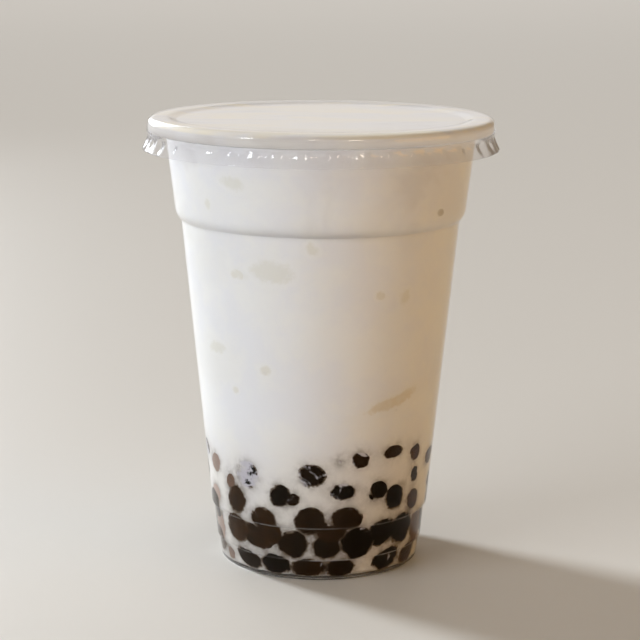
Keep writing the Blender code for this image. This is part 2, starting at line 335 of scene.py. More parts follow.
# ---------- floor and light
FLOOR_SIZE = 16.0
FLOOR_MIDDLE = (0.0, 3.0, -0.0001)
FLOOR_COLOUR = (0.70, 0.68, 0.65)
FLOOR_ROUGHNESS = 0.55
KEY_AZIMUTH = 142.0
KEY_ELEVATION = 38.0
KEY_SOFTNESS = 10.0
KEY_POWER = 2.3
KEY_COLOUR = (0.90, 0.96, 1.0)
LIT_POINT = (0.0, 0.0, 0.07)         # the lamps face this point
GLINT_SIZE = (0.22, 0.22)

# Lamps: mirrored ones show in the plastic, and lighting ones light what stands before them.
Lamp = namedtuple("Lamp", "name place size power colour mirrored lighting")
LAMPS = (
    Lamp("window", (-1.12, -0.75, 0.65), (1.0, 0.9), 9.0, (0.90, 0.95, 1.0), False, True),
    Lamp("glint", (-1.0, -0.8, 0.75), GLINT_SIZE, 3.0, (0.92, 0.96, 1.0), True, False),
    Lamp("glint", (-0.15, -1.5, 1.1), GLINT_SIZE, 2.0, (1.0, 0.95, 0.88), True, False),
    Lamp("glint", (0.55, -1.3, 0.8), GLINT_SIZE, 2.0, (1.0, 0.86, 0.72), True, False),
    Lamp("glare", (-0.5, 0.9, 0.45), (0.5, 0.5), 4.0, (0.90, 0.95, 1.0), True, False),
    Lamp("warm", (1.9, -0.7, 0.43), (1.6, 1.0), 8.3, (1.0, 0.52, 0.05), True, True),
    Lamp("back", (-0.645, 3.87, 1.076), (4.4, 1.55), 12.65, (0.97, 0.97, 0.99), True, True),
)
WORLD_STRENGTH = 0.275
WORLD_COLOUR = (1.0, 0.82, 0.62)


# ---------- camera, floor and lamps
def add_object(name, data):
    thing = bpy.data.objects.new(name, data)
    bpy.context.scene.collection.objects.link(thing)
    return thing


def make_camera():
    data = bpy.data.cameras.new("camera")
    data.lens = LENS
    data.sensor_width = SENSOR
    camera = add_object("camera", data)
    tilt = Matrix.Rotation(math.radians(90.0 - CAMERA_PITCH), 4, "X")
    roll = Matrix.Rotation(math.radians(CAMERA_ROLL), 4, "Z")
    camera.matrix_world = Matrix.Translation(CAMERA_PLACE) @ tilt @ roll
    bpy.context.scene.camera = camera
    return camera


def make_floor():
    bpy.ops.mesh.primitive_plane_add(size=FLOOR_SIZE, location=FLOOR_MIDDLE)
    floor = bpy.context.object
    floor.name = "floor"
    nodes = Nodes("floor")
    floor.data.materials.append(nodes.finish(FLOOR_ROUGHNESS, FLOOR_COLOUR))


def add_key():
    """The sun, which lights the cup but doesn't show in its plastic."""
    data = bpy.data.lights.new("key", "SUN")
    data.energy = KEY_POWER
    data.color = KEY_COLOUR
    data.angle = math.radians(KEY_SOFTNESS)
    azimuth, elevation = math.radians(KEY_AZIMUTH), math.radians(KEY_ELEVATION)
    level = math.cos(elevation)
    towards = Vector((level * math.cos(azimuth), level * math.sin(azimuth), math.sin(elevation)))
    key = add_object("key", data)
    key.rotation_euler = towards.to_track_quat("Z", "Y").to_euler()
    key.visible_glossy = False


def add_lamp(lamp):
    data = bpy.data.lights.new(lamp.name, "AREA")
    data.shape = "RECTANGLE"
    data.size, data.size_y = lamp.size
    data.energy = lamp.power
    data.color = lamp.colour
    light = add_object(lamp.name, data)
    light.location = lamp.place
    light.rotation_euler = (Vector(LIT_POINT) - Vector(lamp.place)).to_track_quat("-Z", "Y").to_euler()
    light.visible_glossy = lamp.mirrored
    light.visible_diffuse = lamp.lighting


def make_lights():
    add_key()
    for lamp in LAMPS:
        add_lamp(lamp)
    world = bpy.data.worlds.new("world")
    world.use_nodes = True
    background = world.node_tree.nodes["Background"]
    background.inputs["Color"].default_value = (*WORLD_COLOUR, 1.0)
    background.inputs["Strength"].default_value = WORLD_STRENGTH
    bpy.context.scene.world = world
    bpy.context.scene.view_settings.view_transform = "Standard"


# ---------- lines of the cup
def smooth(share):
    """From 0 to 1 with a level start and end, for a share from 0 to 1."""
    share = min(max(share, 0.0), 1.0)
    return share * share * (3.0 - 2.0 * share)


def wall_radius(height):
    """Outer radius of the cup's wall at a height, from above the foot to the band's top."""
    if height >= SHOULDER_END:
        return BAND_START_RADIUS + BAND_TAPER * (height - SHOULDER_END)
    radius = FOOT_RADIUS + TAPER * min(height, SHOULDER_START)
    for middle, rise, step in STACKING_LEDGES:
        radius += step * smooth((height - middle) / rise + 0.5)
    if height <= SHOULDER_START:
        return radius
    # the shoulder is a quadratic curve: find the share of it at this height
    rise = (height - SHOULDER_START) / SHOULDER_RISE
    bend = 1.0 - 2.0 * SHOULDER_BEND
    share = (math.sqrt(SHOULDER_BEND ** 2 + bend * rise) - SHOULDER_BEND) / bend
    bulge = radius + SHOULDER_BULGE
    left = 1.0 - share
    return left ** 2 * radius + 2 * share * left * bulge + share ** 2 * BAND_START_RADIUS


def inner_radius(height):
    """Radius of the wall's inner face, which follows the rim's curl above the band."""
    if height <= BAND_TOP:
        return wall_radius(height - WALL_LIFT) - WALL
    start = wall_radius(BAND_TOP - WALL_LIFT) - WALL
    end = CURL_CENTRE[0] - CURL_RADIUS
    return start + (end - start) * smooth((height - BAND_TOP) / (CURL_CENTRE[1] - BAND_TOP))


def drink_radius(height):
    return inner_radius(height) + INTO_WALL


def wall_heights():
    """Heights for the rings of the wall: close together on the ledges and the shoulder."""
    heights = [WALL_START]
    for middle, rise, _ in STACKING_LEDGES:
        reach = LEDGE_REACH * rise
        heights += list(np.linspace(middle - reach, middle + reach, LEDGE_RINGS))
    heights += list(np.linspace(BODY_START, SHOULDER_START - RING_GAP, BODY_RINGS))
    heights += [SHOULDER_START - FOLD_LEAD]
    for ring in range(SHOULDER_RINGS):
        share = (ring / (SHOULDER_RINGS - 1)) ** SHOULDER_BUNCHING
        heights.append(SHOULDER_START + SHOULDER_RISE * share)
    heights += list(np.linspace(SHOULDER_END + RING_GAP, BAND_TOP, BAND_RINGS))
    return heights


def arc(centre, radius, start_degrees, end_degrees, steps):
    points = []
    for step in range(steps + 1):
        angle = math.radians(start_degrees + (end_degrees - start_degrees) * step / steps)
        points.append((centre[0] + radius * math.cos(angle), centre[1] + radius * math.sin(angle)))
    return points


def curl_line(start_degrees, end_degrees, steps):
    """The rim's curl, a little inside its plastic."""
    return arc(CURL_CENTRE, CURL_RADIUS - INTO_WALL, start_degrees, end_degrees, steps)


# ---------- turned pieces
def turned(name, profile, segments, relief=None):
    """A closed body turned from a profile of (radius, height).

    The profile starts and ends on the axis, or is a loop away from it. The relief gives what is
    added to the radius at a height and an angle.
    """
    angles = np.arange(segments) * 2.0 * math.pi / segments
    points = []
    starts = []
    for radius, height in profile:
        starts.append(len(points))
        if radius == 0.0:
            points.append((0.0, 0.0, height))
            continue
        for angle in angles:
            reach = radius + (relief(height, angle) if relief else 0.0)
            points.append((reach * math.cos(angle), reach * math.sin(angle), height))
    faces = []
    rows = len(profile) if profile[0][0] > 0.0 else len(profile) - 1
    for row in range(rows):
        start = starts[row]
        next_row = (row + 1) % len(profile)
        following = starts[next_row]
        for column in range(segments):
            after = (column + 1) % segments
            if profile[row][0] == 0.0:
                faces.append((start, following + after, following + column))
            elif profile[next_row][0] == 0.0:
                faces.append((start + column, start + after, following))
            else:
                faces.append((start + column, start + after, following + after, following + column))
    data = bpy.data.meshes.new(name)
    data.from_pydata(points, [], faces)
    mesh = bmesh.new()
    mesh.from_mesh(data)
    bmesh.ops.recalc_face_normals(mesh, faces=mesh.faces)
    mesh.to_mesh(data)
    mesh.free()
    data.shade_smooth()
    return add_object(name, data)


def foot_line():
    """The recessed base and the ring that the cup stands on, out to the wall."""
    flat_outer = FOOT_RADIUS - FOOT_ROUND
    flat_inner = flat_outer - FOOT_RING_WIDTH
    ease_width, ease_height = FOOT_EASE
    slope_top, slope_middle = RECESS_SLOPE
    return [
        (0.0, BASE_RECESS),
        (flat_inner - slope_top * BASE_RECESS, BASE_RECESS),
        (flat_inner - slope_middle * BASE_RECESS, 0.5 * BASE_RECESS),
        (flat_inner, ease_height),
        (flat_inner + ease_width, 0.0),
    ] + arc((flat_outer, FOOT_ROUND), FOOT_ROUND, -90.0, 0.0, steps=8)


def rim_line():
    """The rim's curl: out along its underside to the lip, and back over its top."""
    lip = CURL_CENTRE[1] - CURL_LIP
    under = arc(CURL_CENTRE, CURL_RADIUS - WALL, 180.0, 0.0, steps=12)
    lip_edge = [(RIM_RADIUS - WALL, lip), (RIM_RADIUS - WALL / 2, lip - CURL_LIP_ROUND), (RIM_RADIUS, lip)]
    return under + lip_edge + arc(CURL_CENTRE, CURL_RADIUS, 0.0, 180.0, steps=16)


def make_cup_shell():
    heights = wall_heights()
    profile = foot_line() + [(wall_radius(height), height) for height in heights] + rim_line()
    easing_in = [BAND_TOP + share * (CURL_CENTRE[1] - BAND_TOP) for share in EASING_RINGS]
    corner_height = FLOOR_HEIGHT + FLOOR_ROUND
    wall_inside = [height for height in reversed(heights) if height > corner_height]
    profile += [(inner_radius(height), height) for height in easing_in + wall_inside]
    corner = (inner_radius(corner_height) - FLOOR_ROUND, corner_height)
    profile += arc(corner, FLOOR_ROUND, 0.0, -90.0, steps=6)
    profile.append((0.0, FLOOR_HEIGHT))
    return turned("cup_shell", profile, CUP_SEGMENTS)


def skirt_line(neck_inset, tip_inset, steps=16):
    """The flared skirt from its neck to its tip, moved in by these insets."""
    points = []
    for step in range(steps + 1):
        share = step / steps
        radius = LID_NECK_RADIUS + (SKIRT_TIP_RADIUS - LID_NECK_RADIUS) * share ** SKIRT_FLARE
        height = LID_NECK_HEIGHT + (SKIRT_TIP_HEIGHT - LID_NECK_HEIGHT) * share
        points.append((radius - neck_inset - (tip_inset - neck_inset) * share, height))
    return points


def crimp(height, angle):
    """Upright flutes pressed into the skirt, deepest just under the neck."""
    share = (LID_NECK_HEIGHT - height) / (LID_NECK_HEIGHT - SKIRT_TIP_HEIGHT)
    if share <= 0.0:
        return 0.0
    shift, waves = CRIMP_WANDER
    flute = 0.5 + 0.5 * math.cos(CRIMPS * angle + shift * math.sin(waves * angle))
    lost = CRIMP_LOSS * smooth((share - CRIMP_FADE) / (1.0 - CRIMP_FADE))
    return -CRIMP_DEPTH * flute ** 2 * (smooth(share / CRIMP_FULL) * (1.0 - lost))


def panel_step(drop, shift, steps=8):
    """The gentle step from the lid's panel up to its ring, moved down and outwards."""
    points = []
    for step in range(steps + 1):
        share = step / steps
        radius = LID_RING_INNER - LID_STEP_WIDTH * (1.0 - share) + shift
        points.append((radius, LID_PANEL_TOP + (LID_TOP - LID_PANEL_TOP) * smooth(share) - drop))
    return points


def make_lid_shell():
    inside_top = LID_PANEL_TOP - LID_WALL
    inside_radius = LID_RADIUS - LID_WALL
    corner_foot = LID_CORNER_CENTRE[1]
    bend = (0.5 * (LID_RADIUS + LID_NECK_RADIUS), LID_BAND_FOOT - NECK_BEND)
    profile = [(0.0, LID_PANEL_TOP), (PANEL_RING, LID_PANEL_TOP)]
    profile += panel_step(0.0, 0.0)
    profile.append((LID_RING_INNER + RING_GAP, LID_TOP))
    profile += arc(LID_CORNER_CENTRE, LID_CORNER, 90.0, 0.0, steps=10)
    profile += [(LID_RADIUS, 0.5 * (LID_BAND_FOOT + corner_foot)), (LID_RADIUS, LID_BAND_FOOT), bend]
    profile += skirt_line(0.0, 0.0)
    profile += list(reversed(skirt_line(LID_WALL, TIP_WALL)))
    profile += [(bend[0] - LID_WALL, bend[1]), (inside_radius, LID_BAND_FOOT)]
    profile.append((inside_radius, corner_foot - RING_GAP))
    profile += arc(LID_CORNER_CENTRE, LID_CORNER - LID_WALL, 0.0, 90.0, steps=6)
    profile += list(reversed(panel_step(LID_WALL, LID_STEP_SHIFT)))
    profile += [(PANEL_RING, inside_top), (0.0, inside_top)]
    return turned("lid_shell", profile, LID_SEGMENTS, crimp)


def make_drink_body():
    """The drink, reaching just into the cup's wall, its floor and the lid, so no air shows."""
    bottom = FLOOR_HEIGHT - INTO_WALL
    corner_height = FLOOR_HEIGHT + FLOOR_ROUND
    corner = (drink_radius(corner_height) - FLOOR_ROUND, corner_height)
    profile = [(0.0, bottom), (BASE_RING, bottom)]
    profile += arc(corner, corner_height - bottom, -90.0, 0.0, steps=6)[:-1]
    wall_end = SHOULDER_START - RING_GAP
    heights = list(np.arange(corner_height, FINE_TOP, FINE_STEP))
    heights += list(np.arange(FINE_TOP + RING_GAP, wall_end, COARSE_STEP))
    heights += [height for height in wall_heights() if wall_end < height < BAND_TOP]
    heights += list(np.linspace(BAND_TOP, CURL_CENTRE[1], NECK_RINGS))
    profile += [(drink_radius(height), height) for height in heights]
    profile += [point for point in curl_line(180.0, 100.0, steps=12)[1:] if point[1] < DRINK_TOP]
    edge = profile[-1][0]
    profile += [(share * edge, DRINK_TOP) for share in SURFACE_RINGS]
    return turned("drink_body", profile, DRINK_SEGMENTS)


def make_rim_film():
    """Milk crept over the rim, between the curl and the lid's ring and band."""
    band = LID_RADIUS - LID_WALL + INTO_WALL
    profile = panel_step(LID_WALL - INTO_WALL, LID_STEP_SHIFT)
    inner_edge = (profile[0][0] - FILM_REACH[0], profile[0][1] - FILM_REACH[1])
    profile[0] = inner_edge
    profile += arc(LID_CORNER_CENTRE, band - LID_RING_OUTER, 90.0, 0.0, steps=8)
    profile += [(band, FILM_FOOT + FILM_FOOT_ROUND), (band - FILM_EDGE, FILM_FOOT)]
    profile += curl_line(-5.0, 130.0, steps=24)
    profile.append((inner_edge[0], DRINK_TOP - FILM_EDGE))
    return turned("rim_film", profile, FILM_SEGMENTS)


# ---------- where pearls and bits lie
def picture_ray(camera, x, y):
    """Start and direction of the line of sight through a point of the picture."""
    focal = LENS / SENSOR * PICTURE
    middle = PICTURE / 2
    local = Vector(((x - middle) / focal, (middle - y) / focal, -1.0))
    return camera.matrix_world.translation, (camera.matrix_world.to_3x3() @ local).normalized()


def on_wall(camera, x, y, first_radius=0.03, rounds=12):
    """Where a line of sight meets the wall's inner face: angle round the axis, height, distance.

    It is cut with an upright cylinder, again and again, each time with the wall's radius there.
    """
    start, ray = picture_ray(camera, x, y)
    radius = first_radius
    for _ in range(rounds):
        a = ray.x ** 2 + ray.y ** 2
        b = start.x * ray.x + start.y * ray.y
        c = start.x ** 2 + start.y ** 2 - radius ** 2
        distance = (-b - math.sqrt(max(b * b - a * c, 0.0))) / a
        point = start + ray * distance
        radius = inner_radius(point.z)
    return math.atan2(point.y, point.x), point.z, distance


def seen_places(camera, rows):
    """Turn rows of the picture into places on the wall."""
    focal = LENS / SENSOR * PICTURE
    slope = math.cos(math.radians(CAMERA_PITCH))
    places = []
    for x, y, wide, tall, lean, smear, brown in rows:
        angle, height, distance = on_wall(camera, x, y)
        facing = max(math.cos(angle + math.pi / 2), LEAST_FACING)
        half_wide = 0.5 * wide * distance / focal / facing
        half_tall = 0.5 * tall * distance / focal / slope
        places.append(Place(angle, height, half_wide, half_tall, lean, smear, brown))
    return places


def hidden_angle(turn):
    """Angle round the axis at a share of the way round the side that the camera doesn't see."""
    return -math.pi / 2 + VIEW_HALF_ANGLE + HIDDEN_SPAN * turn


def hidden_pearls(draw):
    """Pearls at the sides and the back: a dense bed and a few that float above it."""
    places = []
    for row, (row_height, pitch) in enumerate(HIDDEN_ROWS):
        floating = row >= BED_ROWS
        half_range = FLOATING_HALF if floating else BED_HALF
        scatter = FLOATING_SCATTER if floating else BED_SCATTER
        stagger = ROW_STAGGER * (-1) ** row
        count = int(HIDDEN_SPAN * inner_radius(row_height) / pitch)
        for place in range(count):
            turn = (place + 0.5 + stagger + draw.uniform(-ANGLE_SCATTER, ANGLE_SCATTER)) / count
            half = draw.uniform(*half_range)
            height = row_height + draw.uniform(-1.0, 1.0) * scatter
            smear = draw.choice(FLOATING_SMEARS) if floating else draw.uniform(0.0, BED_SMEAR)
            tall = half * draw.uniform(*PEARL_TALLNESS)
            lean = draw.uniform(-PEARL_LEAN, PEARL_LEAN)
            brown = draw.uniform(0, PEARL_BROWNNESS)
            places.append(Place(hidden_angle(turn), height, half, tall, lean, smear, brown))
    return places


def hidden_bits(draw):
    """Bits of coconut at the sides and the back, spread over the milk above the pearls."""
    places = []
    for place in range(HIDDEN_BITS):
        angle = hidden_angle((place + draw.random()) / HIDDEN_BITS)
        half = draw.uniform(*BIT_HALF)
        long = half * draw.choice(BIT_LENGTHS)
        lean = draw.uniform(-BIT_LEAN, BIT_LEAN)
        height = draw.uniform(*BIT_HEIGHTS)
        brown = draw.uniform(0.0, BIT_BROWNNESS)
        places.append(Place(angle, height, long, half * BIT_TALLNESS, lean, 0.0, brown))
    return places


# ---------- pearls and bits
def ball_template(subdivisions):
    """Points and faces of a ball of radius 1."""
    mesh = bmesh.new()
    bmesh.ops.create_icosphere(mesh, subdivisions=subdivisions, radius=1.0)
    points = np.array([vertex.co[:] for vertex in mesh.verts])
    faces = np.array([[vertex.index for vertex in face.verts] for face in mesh.faces])
    mesh.free()
    return points, faces


def spot_distance(places, angles, heights, skip=-1):
    """Distance, in metres along the wall, from points to the nearest spot's edge (inside: negative)."""
    nearest = np.full(len(angles), np.inf)
    for number, place in enumerate(places):
        if number == skip:
            continue
        turn = np.mod(angles - place.angle + math.pi, 2.0 * math.pi) - math.pi
        across = turn * inner_radius(place.height)
        up = heights - place.height
        slant = math.radians(place.lean)
        u = (across * math.cos(slant) - up * math.sin(slant)) / place.half_wide
        v = (across * math.sin(slant) + up * math.cos(slant)) / place.half_tall
        reach = np.sqrt(u * u + v * v)
        nearest = np.minimum(nearest, (reach - 1.0) * min(place.half_wide, place.half_tall))
    return nearest


def crowding(places, angles, heights):
    """0 in open milk, towards 1 beside a spot and more so between several."""
    open_share = np.ones(len(angles))
    for place in places:
        edge = np.clip(spot_distance([place], angles, heights), 0.0, None)
        open_share *= 1.0 - SHADE_AT_EDGE * np.exp(-edge / SHADE_REACH)
    return 1.0 - open_share


def near_places(places, angle, height):
    """The places that can shade the milk round a spot at this angle and height."""
    kept = []
    for place in places:
        turn = (place.angle - angle + math.pi) % (2.0 * math.pi) - math.pi
        if math.hypot(turn * inner_radius(height), place.height - height) < SHADE_LIMIT:
            kept.append(place)
    return kept


def lumpy_ball(template, number, radius):
    """The template's ball at this radius, with lumps that depend on the ball's number."""
    shift = Vector((LUMP_SHIFT[0] * number, LUMP_SHIFT[1] * number, LUMP_SHIFT[2]))
    swell = []
    for point in template:
        place = Vector(point) + shift
        lump = sum(weight * noise.noise(place * scale) for scale, weight in LUMP_NOISE)
        swell.append(1.0 + LUMPS * lump)
    return template * (np.array(swell) * radius)[:, None]


def pressed_ball(template, number, place, ball_radius, depth_share):
    """One ball at its place. A point that would pass the wall is laid just inside the plastic.

    It returns the points' angles, heights and distances from the axis, where they lie in the
    ball's spot (its milky edge is at 1), and which of them lie near the wall.
    """
    half_wide, half_tall = place.half_wide * SPOT_FADE, place.half_tall * SPOT_FADE
    spot = math.sqrt(half_wide * half_tall)
    radius = max(ball_radius, LEAST_BALL * spot)
    sink = math.sqrt(radius ** 2 - spot ** 2) * depth_share
    body = lumpy_ball(template, number, radius)
    u = body[:, 0] * half_wide / spot
    v = body[:, 2] * half_tall / spot
    slant = math.radians(place.lean)
    across = u * math.cos(slant) + v * math.sin(slant)
    up = -u * math.sin(slant) + v * math.cos(slant)
    outwards = inner_radius(place.height) - sink - body[:, 1] * depth_share
    angles = place.angle + np.arctan2(across, outwards)
    heights = np.maximum(place.height + up, FLOOR_HEIGHT - INTO_FLOOR)
    reach = np.hypot(outwards, across)
    press = INTO_WALL + PRESS_LEAST + PRESS_SPREAD * ((number * PRESS_TURN) % 1.0)
    limit = np.array([inner_radius(max(z, WALL_FROM)) for z in heights]) + press
    near_wall = reach > limit - WALL_GUIDED
    inner_half = np.clip(template[:, 1], 0.0, 1.0)
    reach = np.minimum(reach, limit - PRESSED_THICKNESS * inner_half)
    return angles, heights, reach, (u / half_wide, v / half_tall), near_wall


def write_attribute(data, label, values):
    """Store a number, or a vector, at each point of a mesh."""
    kind, key = ("FLOAT_VECTOR", "vector") if values.ndim == 2 else ("FLOAT", "value")
    attribute = data.attributes.new(label, kind, "POINT")
    attribute.data.foreach_set(key, values.astype(np.float32).ravel())


def pressed_balls(name, places, shading, ball_radius, depth_share):
    """Balls pressed against the wall, each showing a flat spot of its listed size there.

    Attribute spot holds where a point lies in its spot (the milky edge is at 1) and the milk
    smeared on it. Attribute brown is the place's brownness. Attribute joined is 1 where another
    spot lies over this one, and halo is how much the pearls in shading shade the milk there.
    """
    template, ball_faces = ball_template(BALL_SUBDIVISIONS)
    points, faces, normals = [], [], []
    values = {"spot": [], "brown": [], "joined": [], "halo": []}
    for number, place in enumerate(places):
        ball = pressed_ball(template, number, place, ball_radius, depth_share)
        angles, heights, reach, (u, v), near_wall = ball
        points.append(np.stack([reach * np.cos(angles), reach * np.sin(angles), heights], axis=1))
        faces.append(ball_faces + len(template) * number)
        outward = np.stack([np.cos(angles), np.sin(angles), np.full(len(angles), -TAPER)], axis=1)
        outward /= np.linalg.norm(outward, axis=1)[:, None]
        normals.append(np.where(near_wall[:, None], outward, 0.0))
        edge = spot_distance(places, angles, heights, skip=number)
        values["spot"].append(np.stack([u, v, np.full(len(u), place.smear)], axis=1))
        values["brown"].append(np.full(len(u), place.brown))
        values["joined"].append(np.clip(0.5 - edge / JOIN_WIDTH, 0.0, 1.0))
        near = near_places(shading, place.angle, place.height)
        values["halo"].append(crowding(near, angles, heights))
    data = bpy.data.meshes.new(name)
    data.from_pydata(np.concatenate(points).tolist(), [], np.concatenate(faces).tolist())
    for label, per_ball in values.items():
        write_attribute(data, label, np.concatenate(per_ball))
    data.shade_smooth()
    data.normals_split_custom_set_from_vertices(np.concatenate(normals).tolist())
    return add_object(name, data)


def shade_drink_near(drink, places):
    """Attribute halo on the drink: how much the pearls round a point of it shade the milk."""
    points = np.array([vertex.co[:] for vertex in drink.data.vertices])
    angles = np.arctan2(points[:, 1], points[:, 0])
    at_wall = np.hypot(points[:, 0], points[:, 1]) > SHADED_FROM
    write_attribute(drink.data, "halo", crowding(places, angles, points[:, 2]) * at_wall)


# ---------- materials
def rgba(colour):
    """A colour with its alpha. A node's socket stays as it is."""
    return colour if isinstance(colour, bpy.types.NodeSocket) else (*colour, 1.0)


class Nodes:
    """Short calls for building a material's node tree. Most of them give back a node's output."""

    def __init__(self, name):
        self.material = bpy.data.materials.new(name)
        self.material.use_nodes = True
        self.tree = self.material.node_tree
        self.shader = self.tree.nodes["Principled BSDF"]
        self.output = self.tree.nodes["Material Output"]

    def feed(self, node, inputs):
        """Link each input to a socket of another node, or set it to a number or colour."""
        for key, source in inputs.items():
            if isinstance(source, bpy.types.NodeSocket):
                self.tree.links.new(source, node.inputs[key])
            else:
                node.inputs[key].default_value = source

    def add(self, kind, inputs=None, **settings):
        node = self.tree.nodes.new(kind)
        for key, value in settings.items():
            setattr(node, key, value)
        self.feed(node, inputs or {})
        return node

    def maths(self, operation, first, second=0.0, clamp=False):
        inputs = {0: first, 1: second}
        return self.add("ShaderNodeMath", inputs, operation=operation, use_clamp=clamp).outputs[0]

    def plus(self, first, second):
        return self.maths("ADD", first, second)

    def minus(self, first, second, clamp=False):
        return self.maths("SUBTRACT", first, second, clamp)

    def times(self, first, second, clamp=False):
        return self.maths("MULTIPLY", first, second, clamp)

    def away_from(self, source, level):
        return self.maths("ABSOLUTE", self.minus(source, level))

    def ramp(self, source, low, high, start=0.0, end=1.0):
        """From start to end, smoothly, while the source goes from low to high."""
        inputs = {"Value": source, "From Min": low, "From Max": high, "To Min": start, "To Max": end}
        return self.add("ShaderNodeMapRange", inputs, interpolation_type="SMOOTHSTEP").outputs["Result"]

    def mix(self, share, first, second):
        """One colour where the share is 0, the other where it is 1."""
        inputs = {"Factor": share, 6: rgba(first), 7: rgba(second)}
        return self.add("ShaderNodeMix", inputs, data_type="RGBA").outputs[2]

    def object_place(self):
        return self.add("ShaderNodeTexCoord").outputs["Object"]

    def split(self, vector):
        return self.add("ShaderNodeSeparateXYZ", {0: vector}).outputs

    def attribute(self, name, output="Fac"):
        return self.add("ShaderNodeAttribute", attribute_name=name).outputs[output]

    def noise(self, scale, detail=3.0, roughness=0.5, vector=None, distortion=0.0):
        inputs = {"Scale": scale, "Detail": detail, "Roughness": roughness, "Distortion": distortion}
        inputs["Vector"] = vector or self.object_place()
        return self.add("ShaderNodeTexNoise", inputs).outputs["Fac"]

    def bump(self, height, strength, distance):
        inputs = {"Height": height, "Strength": strength, "Distance": distance}
        self.feed(self.shader, {"Normal": self.add("ShaderNodeBump", inputs).outputs["Normal"]})

    def see_through(self, colour):
        return self.add("ShaderNodeBsdfTransparent", {"Color": rgba(colour)}).outputs[0]

    def dull(self, colour):
        return self.add("ShaderNodeBsdfDiffuse", {"Color": rgba(colour)}).outputs[0]

    def mix_shaders(self, share, first, second):
        return self.add("ShaderNodeMixShader", {0: share, 1: first, 2: second}).outputs[0]

    def let_lamps_through(self, look, see):
        """Show the look, but let the light of the lamps pass as through the see-through shader."""
        shadow_ray = self.add("ShaderNodeLightPath").outputs["Is Shadow Ray"]
        self.feed(self.output, {"Surface": self.mix_shaders(shadow_ray, look, see)})

    def finish(self, roughness, colour, ior=1.45):
        self.feed(self.shader, {"Roughness": roughness, "Base Color": rgba(colour), "IOR": ior})
        return self.material


def cup_plastic():
    """Clear moulded plastic that bends what is behind it; lamps shine through to what it holds.

    Along each stacking ledge a painted highlight, a pale line in patches, is laid into the plastic.
    """
    nodes = Nodes("clear_cup")
    nodes.feed(nodes.shader, {"Transmission Weight": 1.0, "Specular Tint": rgba(WALL_MIRROR)})
    nodes.bump(nodes.noise(45.0, detail=2.0), strength=0.05, distance=WAVE_DEPTH)
    height = nodes.split(nodes.object_place())[2]
    # painted highlight: pale haze in patches along each stacking ledge, standing in for its line of light
    ledge_highlight = 0.0
    for middle, rise, _ in STACKING_LEDGES:
        away = nodes.away_from(height, middle - LEDGE_HIGHLIGHT_DROP * rise)
        ledge_highlight = nodes.maths("MAXIMUM", ledge_highlight, nodes.ramp(away, *LEDGE_HIGHLIGHT, start=1.0, end=0.0))
    patchy = nodes.ramp(nodes.noise(120.0), 0.35, 0.65, start=0.06, end=0.40)
    clear = nodes.shader.outputs[0]
    with_ledge_highlights = nodes.mix_shaders(nodes.times(ledge_highlight, patchy), clear, nodes.dull(HAZE))
    nodes.let_lamps_through(with_ledge_highlights, nodes.see_through(CUP_TINT))
    return nodes.finish(roughness=0.03, colour=CUP_TINT, ior=1.36)


def lid_plastic():
    """A thin clear sheet: see-through, a little hazy, and shiny where it is seen at a slant.

    The skirt is hazier and shinier. Its flutes look smoky and cloudy where they turn away,
    because there one looks along the plastic. Lamps shine through to what the lid covers.
    """
    nodes = Nodes("clear_lid")
    nodes.feed(nodes.shader, {"Metallic": 1.0})
    nodes.bump(nodes.noise(70.0, detail=2.0), strength=0.06, distance=WAVE_DEPTH)
    turned_off = nodes.add("ShaderNodeLayerWeight", {"Blend": 0.5}).outputs["Facing"]
    height = nodes.split(nodes.object_place())[2]
    in_skirt = nodes.ramp(height, LID_NECK_HEIGHT, LID_BAND_FOOT, start=1.0, end=0.0)
    flutes = nodes.times(nodes.ramp(turned_off, *FLUTES_TURN), in_skirt)
    see = nodes.see_through(nodes.mix(flutes, LID_TINT, SKIRT_SMOKE))
    cloudy = nodes.plus(nodes.times(in_skirt, SKIRT_HAZE), LID_HAZE)
    cloudy = nodes.plus(nodes.times(flutes, FLUTE_HAZE), cloudy)
    body = nodes.mix_shaders(cloudy, see, nodes.dull(HAZE))
    slant = nodes.maths("POWER", turned_off, SLANT_POWER)
    slant_shine = nodes.plus(nodes.times(in_skirt, SKIRT_SLANT_SHINE), SLANT_SHINE)
    shine = nodes.plus(nodes.times(slant, slant_shine), LID_SHINE)
    nodes.let_lamps_through(nodes.mix_shaders(shine, body, nodes.shader.outputs[0]), see)
    return nodes.finish(roughness=0.10, colour=MIRROR)


def milk_body(nodes, height):
    """Milk seen through the wall: mottled, with faint clouds that are stronger above the shoulder."""
    mottle = nodes.noise(75.0, detail=5.0, roughness=0.6)
    body = nodes.mix(nodes.ramp(mottle, 0.38, 0.62), MILK, MILK_COOL)
    cloud = nodes.noise(45.0, detail=3.0, distortion=0.5)
    in_band = nodes.ramp(height, SHOULDER_START - CLOUD_LEAD, SHOULDER_END, start=0.25, end=1.0)
    clouded = nodes.times(nodes.ramp(cloud, 0.50, 0.66, start=0.0, end=0.55), in_band)
    return nodes.mix(clouded, body, MILK_CLOUD)


def milk_surface(nodes, axes):
    """The drink's top under the lid: cream in streaks, made by noise on a stretched place."""
    scaled = {number: nodes.times(axes[number], scale) for number, scale in enumerate(STREAK_SCALES)}
    vector = nodes.add("ShaderNodeCombineXYZ", scaled).outputs[0]
    lines = nodes.noise(1.0, detail=4.0, roughness=0.6, vector=vector, distortion=0.8)
    top = nodes.mix(nodes.ramp(lines, 0.36, 0.60), CREAM, MILK_COOL)
    return nodes.mix(nodes.ramp(lines, 0.56, 0.72, start=0.0, end=0.8), top, STREAK)


